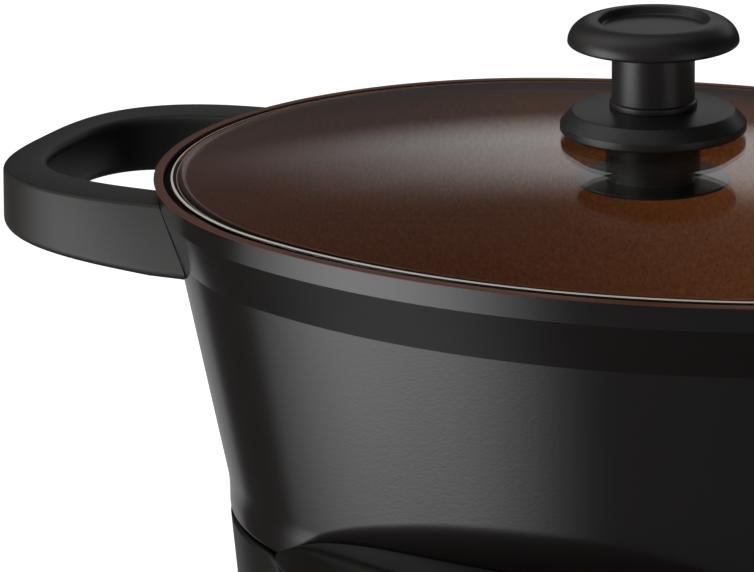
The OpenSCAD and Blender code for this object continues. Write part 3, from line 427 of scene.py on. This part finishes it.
power_stem = bar(-button_u, stem_v, arc_outer - arc_inner, stem_length)
back_u, tip_u, start_half = -button_u - 1.3, -button_u + 1.8, 1.8
start = [(back_u, lower_v - start_half), (tip_u, lower_v), (back_u, lower_v + start_half)]
sign_length, arm_middle, arm_length = 3.8, 1.1, 1.6
more = [bar(button_u, upper_v, sign_length, stroke)]
more += [bar(button_u, upper_v + dv, stroke, arm_length) for dv in (arm_middle, -arm_middle)]
less = [bar(button_u, lower_v, sign_length, stroke)]
printed("sign_power", [power, power_stem], button_face, "button_upper_left", "control_plastic")
printed("sign_start", [start], button_face, "button_lower_left", "control_plastic")
printed("sign_more", more, button_face, "button_upper_right", "control_plastic")
printed("sign_less", less, button_face, "button_lower_right", "control_plastic")
flat, upright = (3.6, 0.8), (0.8, 3.4)
side_u, side_v, end_v = 2.2, 2.1, 4.2
digit_bars = (
    (0, end_v, *flat), (side_u, side_v, *upright), (side_u, -side_v, *upright), (0, -end_v, *flat),
    (-side_u, -side_v, *upright), (-side_u, side_v, *upright), (0, 0, *flat),
)
four, zero = (1, 2, 5, 6), (0, 1, 2, 3, 4, 5)
shown = ((-9.5, four), (3.0, zero), (11.0, zero))
bars = [bar(u + digit_bars[i][0], display_v + digit_bars[i][1], *digit_bars[i][2:]) for u, lit in shown for i in lit]
colon_u, colon_v, dot_size = -3.3, 1.8, 0.9
bars += [bar(colon_u, display_v + dv, dot_size, dot_size) for dv in (colon_v, -colon_v)]
printed("display_digits", bars, fascia_face, "base", "window_dark")

# Pot: one aluminium casting. Its outside is sprayed with a satin black enamel, and its inside and lip with
# a copper-brown speckled non-stick coat. It has a recessed seat for the lid, painted matt black as painted shade, and
# stands in the base.
peel_size, peel_depth, cloud_size = 0.9, 0.01, 45
enamel, tree, shader, place = new_material("satin_black_enamel", Base_Color=linear("#1a1817"))
peel = add(tree, "TexNoise", {"Vector": place, "Scale": 1 / (peel_size * mm), "Detail": 2.0})
cloud = add(tree, "TexNoise", {"Vector": place, "Scale": 1 / (cloud_size * mm), "Detail": 3.0})
sheen = add(tree, "MapRange", {"Value": cloud.outputs["Fac"], "To Min": 0.15, "To Max": 0.21})
bump = add(tree, "Bump", {"Height": peel.outputs["Fac"], "Distance": peel_depth * mm})
wire(tree, shader, {"Roughness": sheen.outputs["Result"], "Normal": bump.outputs["Normal"]})

speck_size, speck_depth = 1.1, 0.02
coat, tree, shader, place = new_material("copper_brown_ceramic_coat")
speck = add(tree, "TexNoise", {"Vector": place, "Scale": 1 / (speck_size * mm), "Detail": 2.0, "Roughness": 0.7})
tint = add(tree, "ValToRGB", {"Fac": speck.outputs["Fac"]})
for stop, position, colour in zip(tint.color_ramp.elements, (0.3, 0.7), ("#9c5829", "#cf7d3f")):
    stop.position, stop.color = position, linear(colour)
bump = add(tree, "Bump", {"Height": speck.outputs["Fac"], "Distance": speck_depth * mm})
wire(tree, shader, {"Base Color": tint.outputs["Color"], "Roughness": 0.4, "Normal": bump.outputs["Normal"]})

glaze = moulded_plastic("dark_brown_glaze", "#4c2c1e", "#6b3f2b", 0.42, 1.1, 0.01, specular=0.22)
# The lid's seat is painted near-black and matt: painted shade for the gap under the lid's edge.
seat_painted_shade = moulded_plastic("matt_black_painted_shade", "#0b0a0a", "#0f0e0e", 0.7, 0.6, 0.01, specular=0.1)
seat_depth, lip_width, lip_thick, lip_drop, coat_start = 2.2, 2.9, 0.35, 1.0, 5.9
collar_inset, collar_depth, band_inset, band_depth = 1.5, 7.2, 6.5, 21.5
skirt_inset, skirt_depth, pot_depth, pot_inside, pot_middle = 20.0, 101.5, 140.0, 136.0, 75.0
on_enamel, on_coat, on_glaze, on_seat = range(4)
pot_lines = [
    (on_enamel, [(pot_middle, -pot_depth, 0), (36.0, -pot_depth, 3.0), (29.0, -133.0, 3.0), (27.0, -skirt_depth, 1.0),
                 (skirt_inset, -skirt_depth, 1.2), (skirt_inset, -92.5, 35.0), (band_inset, -band_depth, 1.2),
                 (collar_inset, -collar_depth, 0.8), (collar_inset, -lip_thick, 0)]),
    (on_glaze, [(collar_inset, -lip_thick, 0), (0.0, -lip_thick, 0.15), (0.0, 0.0, 0.2), (lip_width, 0.0, 0.3),
                (lip_width, -lip_drop, 0)]),
    (on_seat, [(lip_width, -lip_drop, 0), (lip_width, -seat_depth, 0.3), (coat_start, -seat_depth, 0)]),
    (on_coat, [(coat_start, -seat_depth, 0), (8.0, -seat_depth, 0.8), (8.5, -band_depth, 2.0), (20.5, -80.5, 4.0),
               (30.0, -skirt_depth, 4.0), (32.0, -129.0, 4.0), (39.0, -pot_inside, 6.0),
               (pot_middle, -pot_inside, 0)]),
]


def oval_loft(profile):
    """Rings of the oval for a profile of (inset, height)."""
    return [[(*oval_point(t, inset), z) for t in full_turn(oval_steps)] for inset, z in profile]


pot_profile, finishes = [], []
for finish, corners in pot_lines:
    line = rounded(corners)
    pot_profile += [(inset, rim_z + depth) for inset, depth in line]
    finishes += [finish] * len(line)
pot_shell = piece("pot_casting", skin(oval_loft(pot_profile), ends=True), [enamel, coat, glaze, seat_painted_shade],
                  "pot", "pot_coating", "pot")
for face in pot_shell.data.polygons:
    face.material_index = finishes[min(face.index // oval_steps, len(finishes) - 1)]
pot_shell.data.polygons[-2].material_index = on_enamel
pot_shell.data.polygons[-1].material_index = on_coat

# Handles: two loops of moulded phenolic, screwed to lugs of the casting. The grip is slimmer than the
# arms, and every edge is well rounded for the hand.
phenolic = moulded_plastic("satin_black_phenolic", "#1f1d1c", "#252321", 0.45, 0.6, 0.015, specular=0.42)
arm_x = 135.0
handle_out, handle_half, outer_power = 203.5, 58.5, 2.85
hole_out, hole_half, hole_power = 192.0, 40.5, 3.05
handle_top, arm_foot, grip_foot, handle_round, under_round = -6.0, -27.0, -23.5, 2.6, 5.0
arm_draft, top_edge, seam, bury = 5.0, 1.3, 0.3, 1.2
lean_share, wall_slope = 0.25, 0.19
loop_steps = 64


def loop_point(turn, out, half, power):
    """A point of the loop's plan, a blunt oval from arm to arm, at an angle about its start."""
    across, along = math.cos(turn), math.sin(turn)
    return (arm_x + (out - arm_x) * abs(across) ** (2 / power),
            math.copysign(half * abs(along) ** (2 / power), along))


def handle_section(outer, inner, drawn=0.0):
    """A rounded upright section between an outer and an inner point of the plan, drawn in all round. The grip is
    the slimmest part, and the arms' outer faces lean out towards their feet."""
    outer, inner = Vector(outer), Vector(inner)
    width = (outer - inner).length
    top = rim_z + handle_top - drawn
    out_share = max(0.0, (outer.x - arm_x) / (handle_out - arm_x))
    foot = rim_z + arm_foot + (grip_foot - arm_foot) * out_share + drawn
    lean = arm_draft * (1 - out_share)
    middle = (top + foot) / 2
    line = rounded([
        (drawn, middle, 0), (drawn, top, handle_round), (width - lean * lean_share - drawn, top, top_edge),
        (width + lean * (1 - lean_share) - drawn, foot, handle_round), (drawn, foot, under_round), (drawn, middle, 0),
    ])[:-1]
    return [(*(inner + (outer - inner) * (u / width)), z) for u, z in line]


def pot_inset(z):
    """How far the pot's outer face is inside the rim at a height beside the handles."""
    depth = rim_z - z
    if depth < collar_depth:
        return collar_inset
    if depth < band_depth:
        return collar_inset + (depth - collar_depth) * (band_inset - collar_inset) / (band_depth - collar_depth)
    return band_inset + (depth - band_depth) * wall_slope


def handle_shape(sign):
    """The loop from one arm round the grip to the other arm. Each arm ends at a fine seam beside the pot's wall,
    and its narrower root ends inside the wall."""
    turns = [math.pi / 2 - math.pi * k / loop_steps for k in range(loop_steps + 1)]
    first, last = (((0, s * handle_half), (0, s * hole_half)) for s in (1, -1))
    plan = [(first, seam, -bury), (first, seam, seam), (first, 0, seam)]
    plan += [((loop_point(a, handle_out, handle_half, outer_power), loop_point(a, hole_out, hole_half, hole_power)),
              0, seam) for a in turns]
    plan += [(last, 0, seam), (last, seam, seam), (last, seam, -bury)]
    rings = []
    for ends, drawn, gap in plan:
        ring = []
        for x, y, z in handle_section(*ends, drawn):
            wall = end_centre + math.sqrt((end_radius - pot_inset(z) + gap) ** 2 - y * y)
            ring.append((sign * max(x, wall), y, z))
        rings.append(ring)
    return skin(rings, ends=True)


for side, sign in (("left", -1), ("right", 1)):
    piece("handle_loop_" + side, handle_shape(sign), [phenolic], "pot", "handle_plastic", "handle_" + side)

# Glass lid: a pressed dome of clear tempered glass with a bead edge, with pale lines painted along its top and its
# bevel as painted highlight.
# It lies loose in the seat, and the seat's painted shade shows as a thin black gap round it.
smear_size, most_haze = 60, 0.02
glass, tree, shader, place = new_material("clear_tempered_glass", Base_Color=linear("#f4f7f6"), IOR=1.5,
                                          Transmission_Weight=1.0)
smear = add(tree, "TexNoise", {"Vector": place, "Scale": 1 / (smear_size * mm), "Detail": 3.0})
haze = add(tree, "MapRange", {"Value": smear.outputs["Fac"], "To Min": 0.0, "To Max": most_haze})
wire(tree, shader, {"Roughness": haze.outputs["Result"]})
ray = add(tree, "LightPath", {})
lit = add(tree, "Math", {0: ray.outputs["Is Shadow Ray"], 1: ray.outputs["Is Diffuse Ray"]}, operation="MAXIMUM")
clear = add(tree, "BsdfTransparent", {"Color": linear("#f0f4f2")})
either = add(tree, "MixShader", {0: lit.outputs["Value"], 1: shader.outputs["BSDF"], 2: clear.outputs["BSDF"]})
wire(tree, tree.nodes["Material Output"], {"Surface": either.outputs["Shader"]})
glass_inset, glass_thick, edge_thick = 4.8, 2.6, 1.8
edge_top, dome_top, lid_hole = rim_z + 0.2, 210.3, 4.5
bead_r, bead_inset = edge_thick / 2, glass_inset + edge_thick / 2
hole_share, bevel_share, highlight_share, edge_share = lid_hole / rim_length, 0.988, 0.002, 0.9965
bead_steps, dome_steps = 8, 48
turns = full_turn(oval_steps)


def dome_ring(share, under):
    """A ring of the dome at a share of the way out, on its top or under it. The glass is bevelled
    thinner at its edge."""
    z = edge_top + (dome_top - edge_top) * (1 - share * share)
    if under:
        z -= glass_thick - (glass_thick - edge_thick) * max(0.0, share - bevel_share) / (1 - bevel_share)
    return [(*(share * c for c in oval_point(t, bead_inset)), z) for t in turns]


shares = [hole_share + (bevel_share - hole_share) * k / (dome_steps - 1) for k in range(dome_steps)]
shares += [bevel_share + highlight_share, edge_share, 1.0]
rings = [dome_ring(s, True) for s in shares]
for k in range(1, bead_steps):
    a = math.pi * k / bead_steps - math.pi / 2
    reach, rise = bead_r * math.cos(a), bead_r * math.sin(a)
    rings.append([(*oval_point(t, bead_inset - reach), edge_top - bead_r + rise) for t in turns])
rings += [dome_ring(s, False) for s in reversed(shares)]
# The pale rings on the bevel and the bead are painted highlight: thin bright lines along the glass edge.
edge_highlight_paint = moulded_plastic("glass_edge_painted_highlight", "#d2cbb9", "#e6e0d0", 0.35, 0.3, 0.005)
lid_dome = piece("lid_dome", skin(rings, loop=True), [glass, edge_highlight_paint], "lid", "glass", "lid_glass")
bevel_ring, bead_ring = dome_steps - 1, len(shares) - 1
highlight_rings = (bevel_ring, bead_ring + bead_steps - 2, bead_ring + bead_steps - 1)
for face in lid_dome.data.polygons:
    face.material_index = 1 if face.index // oval_steps in highlight_rings else 0

# Knob: a turned-looking moulded phenolic handle in four parts, a dished cap, a stem, a ring and a flange,
# pulled onto the glass through a silicone gasket by a screw from the retainer below.
turn_count = 160


def turned(profile):
    """Points and faces of a piece turned about the pot's axis from a line of (radius, height)."""
    rings = [[(r * math.cos(t), r * math.sin(t), z) for t in full_turn(turn_count)] for r, z in profile]
    return skin(rings, ends=True)


knob_plastic = moulded_plastic("satin_black_phenolic_knob", "#201e1d", "#272423", 0.36, 0.5, 0.01)
cap_lift, cap_trim = 1.0, 2.4
cap_z, cap_top = (c.z / mm + cap_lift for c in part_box("knob_cap"))
cap_z += cap_trim
cap_r, waist_z, under_r, lip_r, dish_r, dish_depth = 24.8, cap_z + 1.2, 22.0, 17.4, 15.9, 2.4
quarter = [math.radians(a) for a in range(0, 91, 6)]
cap = [Vector((tiny, cap_z))]
cap += [Vector((under_r + (cap_r - under_r) * math.sin(a), waist_z + (cap_z - waist_z) * math.cos(a)))
        for a in quarter]
cap += [Vector((lip_r + (cap_r - lip_r) * math.cos(a), waist_z + (cap_top - waist_z) * math.sin(a)))
        for a in quarter[1:]]
cap += rounded([(lip_r, cap_top, 0), (dish_r, cap_top, 1.0), (dish_r - 1.0, cap_top - 2.3, 0.9),
                (tiny, cap_top - dish_depth, 0)])[1:]
piece("knob_top_disc", turned(cap), [knob_plastic], "lid", "knob_plastic", "knob_cap")
flange_z, flange_top = (c.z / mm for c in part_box("knob_flange"))
apron, cone = flange_z - 1.0, flange_top + 1.3
flange_r, apron_r, stem_r, foot_r = 27.0, 24.3, 12.0, 12.7
flange = rounded([
    (tiny, flange_z, 0), (apron_r, flange_z, 0.2), (apron_r, apron, 0.2), (26.4, apron, 0.5),
    (flange_r, apron + 0.6, 0.3), (flange_r, apron + 2.6, 0.7), (23.6, flange_top + 0.2, 0.8), (stem_r, cone, 0),
    (tiny, cone, 0),
])
piece("knob_base_flange", turned(flange), [knob_plastic], "lid", "knob_plastic", "knob_flange")
ring_z, ring_top = cone - 0.1, cone + 2.1
ring = rounded([(tiny, ring_z, 0), (foot_r, ring_z, 0.3), (foot_r, ring_top - 0.5, 0.5), (11.9, ring_top, 0.2),
                (tiny, ring_top, 0)])
piece("knob_foot_ring", turned(ring), [knob_plastic], "lid", "knob_plastic", "knob_ring")
stem_z, stem_top = ring_top - 0.2, cap_z + 0.2
stem = [(tiny, stem_z), (stem_r, stem_z), (stem_r, stem_top), (tiny, stem_top)]
piece("knob_column", turned(stem), [knob_plastic], "lid", "knob_plastic", "knob_stem")
silicone = moulded_plastic("black_silicone", "#151515", "#1b1b1b", 0.6, 0.5, 0.01)
gasket_z, gasket_top = (c.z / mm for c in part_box("knob_gasket"))
gasket_r, gasket_round = 24.0, 0.5
gasket = rounded([(tiny, gasket_z, 0), (gasket_r, gasket_z, gasket_round), (gasket_r, gasket_top, gasket_round),
                  (tiny, gasket_top, 0)])
piece("knob_seal", turned(gasket), [silicone], "lid", "seal_rubber", "knob_gasket")
keep_z, keep_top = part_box("lid_retainer")[0].z / mm - 3.5, dome_top - glass_thick - 0.2
neck_r = 13.7
keeper = rounded([(tiny, keep_z, 0), (22.4, keep_z, 0.3), (22.6, keep_z + 0.8, 0.3), (neck_r, keep_z + 1.2, 0.5),
                  (neck_r, keep_top, 0.4), (tiny, keep_top, 0)])
piece("lid_keeper", turned(keeper), [knob_plastic], "lid", "knob_plastic", "lid_retainer")

# Studio: a pale floor in a white room, under a broad softbox overhead and a small one on the left. Soft panels
# glow on the room's walls. The one low at the front left draws the highlight on the pot, and the ones behind
# draw the sheen on the glass.
floor_reach, floor_steps, floor_glow = 1.2, 128, 0.92
floor_mesh = bpy.data.meshes.new("floor")
floor_mesh.from_pydata([(floor_reach * math.cos(t), floor_reach * math.sin(t), 0) for t in full_turn(floor_steps)],
                       [], [tuple(range(floor_steps))])
floor = bpy.data.objects.new("floor", floor_mesh)
bpy.context.scene.collection.objects.link(floor)
floor.visible_glossy = floor.visible_shadow = False
floor_paint, tree, shader, place = new_material("pale_matt_floor", Base_Color=linear("#c8c8c8"), Roughness=0.9)
ray = add(tree, "LightPath", {})
seen = add(tree, "Math", {0: ray.outputs["Is Camera Ray"], 1: ray.outputs["Is Transmission Ray"]},
           operation="MAXIMUM")
glow = add(tree, "Math", {0: seen.outputs["Value"], 1: floor_glow}, operation="MULTIPLY")
white = add(tree, "Emission", {"Color": (1, 1, 1, 1), "Strength": glow.outputs["Value"]})
both = add(tree, "AddShader", {0: shader.outputs["BSDF"], 1: white.outputs["Emission"]})
wire(tree, tree.nodes["Material Output"], {"Surface": both.outputs["Shader"]})
floor_mesh.materials.append(floor_paint)

world = bpy.data.worlds.new("studio")
bpy.context.scene.world = world
world.use_nodes = True
tree = world.node_tree
way = add(tree, "SeparateXYZ", {"Vector": add(tree, "TexCoord", {}).outputs["Generated"]})
ahead = add(tree, "Math", {0: way.outputs["Y"], 1: -1.0}, operation="MULTIPLY")
bearing = add(tree, "Math", {0: way.outputs["X"], 1: ahead.outputs["Value"]}, operation="ARCTAN2")
elevation = add(tree, "Math", {0: way.outputs["Z"]}, operation="ARCSINE")


def panel(across, upward, strength, lean=0.0):
    """A soft-edged panel of light on the room's walls. Its bearing, from the front with left negative, and its
    elevation are each a middle, a half size and half the width of the soft edge, in degrees. It leans by lean
    degrees of elevation for each degree of bearing."""
    share, shift = strength, 0.0
    for angle, (middle, half, soft) in ((bearing, across), (elevation, upward)):
        off = add(tree, "Math", {0: angle.outputs["Value"], 1: math.radians(middle)}, operation="SUBTRACT")
        off = add(tree, "Math", {0: off.outputs["Value"], 1: shift}, operation="SUBTRACT")
        off = add(tree, "Math", {0: off.outputs["Value"], 1: math.pi, 2: -math.pi}, operation="WRAP")
        shift = add(tree, "Math", {0: off.outputs["Value"], 1: lean}, operation="MULTIPLY").outputs["Value"]
        off = add(tree, "Math", {0: off.outputs["Value"]}, operation="ABSOLUTE")
        inside = add(tree, "MapRange", {"Value": off.outputs["Value"], "From Min": math.radians(half + soft),
                                        "From Max": math.radians(half - soft)}, interpolation_type="SMOOTHSTEP")
        share = add(tree, "Math", {0: share, 1: inside.outputs["Result"]}, operation="MULTIPLY").outputs["Value"]
    return share


room_level, floor_line = 0.03, -0.22
level = room_level
for share in (
    panel((-45.5, 19.5, 17), (-4.2, 20.5, 2), 3.95, -0.12),  # front left, upper part
    panel((-48.5, 22.5, 17), (-30.4, 6.1, 2), 3.95, -0.12),  # front left, lower part
    panel((-60, 24, 16), (-55, 14, 6), 0.5),  # front left, far down
    panel((180, 59, 5), (-24, 10, 2), 0.37),  # behind, low
    panel((70, 14, 12), (-12, 18, 10), 0.8),  # right
    panel((-176, 25, 6), (20.5, 7.5, 4.5), 0.55),  # behind, over the lid
    panel((-150, 14, 8), (20, 16, 10), 0.022),  # behind on the left, faint
    panel((60, 75, 20), (-18, 28, 8), 0.12),  # right, broad and faint
    panel((-20, 95, 15), (58, 47, 8), 0.16),  # high, in front
    panel((180, 50, 12), (91, 38, 6), 0.16),  # overhead, to the rear
    panel((-75, 30, 15), (50, 25, 12), 0.5),  # high, on the left
):
    level = add(tree, "Math", {0: level, 1: share}, operation="ADD").outputs["Value"]
ray = add(tree, "LightPath", {})
falling = add(tree, "Math", {0: way.outputs["Z"], 1: floor_line}, operation="LESS_THAN")
through = add(tree, "Math", {0: ray.outputs["Is Transmission Ray"], 1: falling.outputs["Value"]},
              operation="MULTIPLY")
seen = add(tree, "Math", {0: ray.outputs["Is Camera Ray"], 1: through.outputs["Value"]}, operation="MAXIMUM")
level = add(tree, "Mix", {0: seen.outputs["Value"], 2: level, 3: 1.0}, data_type="FLOAT")
wire(tree, tree.nodes["Background"], {"Color": (1, 1, 1, 1), "Strength": level.outputs[0]})

axis = Vector((0, axis_y * mm, 0))
lit_middle = axis + Vector((0, 0, 0.12))
for name, size, radiance, where, mirrored in (
    ("overhead_softbox", 1.5, 0.3, Vector((-0.45, 0, 1.6)), True),
    ("left_softbox", 0.6, 4.0, Vector((-1.08, -0.29, 1.12)), False),
):
    lamp = bpy.data.lights.new(name, "AREA")
    lamp.shape, lamp.size = "SQUARE", size
    lamp.energy = radiance * math.pi * size * size
    softbox = bpy.data.objects.new(name, lamp)
    bpy.context.scene.collection.objects.link(softbox)
    softbox.location = axis + where
    softbox.rotation_euler = (lit_middle - softbox.location).to_track_quat("-Z", "Y").to_euler()
    softbox.visible_camera = False
    softbox.visible_glossy = mirrored

# Camera: a long lens from the front right, a little above the rim. Its stand is a direction and a distance
# from the middle of the rim, and its aim is a direction of its own, because the photo is cropped.
camera = bpy.data.objects.new("camera", bpy.data.cameras.new("camera"))
bpy.context.scene.collection.objects.link(camera)
bpy.context.scene.camera = camera
stand_turn, stand_rise, stand_reach = 21.838, 15.64, 1.3
aim_turn, aim_rise, aim_roll = 25.535, 16.938, -0.977
image_width, focal_pixels = 754, 4464.6


def toward(turn, rise):
    """Unit direction from the object to a camera at an angle from the front and a rise, in degrees."""
    a, e = math.radians(turn), math.radians(rise)
    return Vector((math.sin(a) * math.cos(e), -math.cos(a) * math.cos(e), math.sin(e)))


backward = toward(aim_turn, aim_rise)
level_right = Vector((math.cos(math.radians(aim_turn)), math.sin(math.radians(aim_turn)), 0))
turned_frame = Matrix((level_right, backward.cross(level_right), backward)).transposed()
camera.matrix_world = Matrix.Translation(
    axis + Vector((0, 0, rim_z * mm)) + toward(stand_turn, stand_rise) * stand_reach
) @ (turned_frame @ Matrix.Rotation(math.radians(aim_roll), 3, "Z")).to_4x4()
camera.data.sensor_width = 36
camera.data.lens = focal_pixels * camera.data.sensor_width / image_width
camera.data.clip_end = 20

bpy.context.scene.view_settings.view_transform = "Standard"
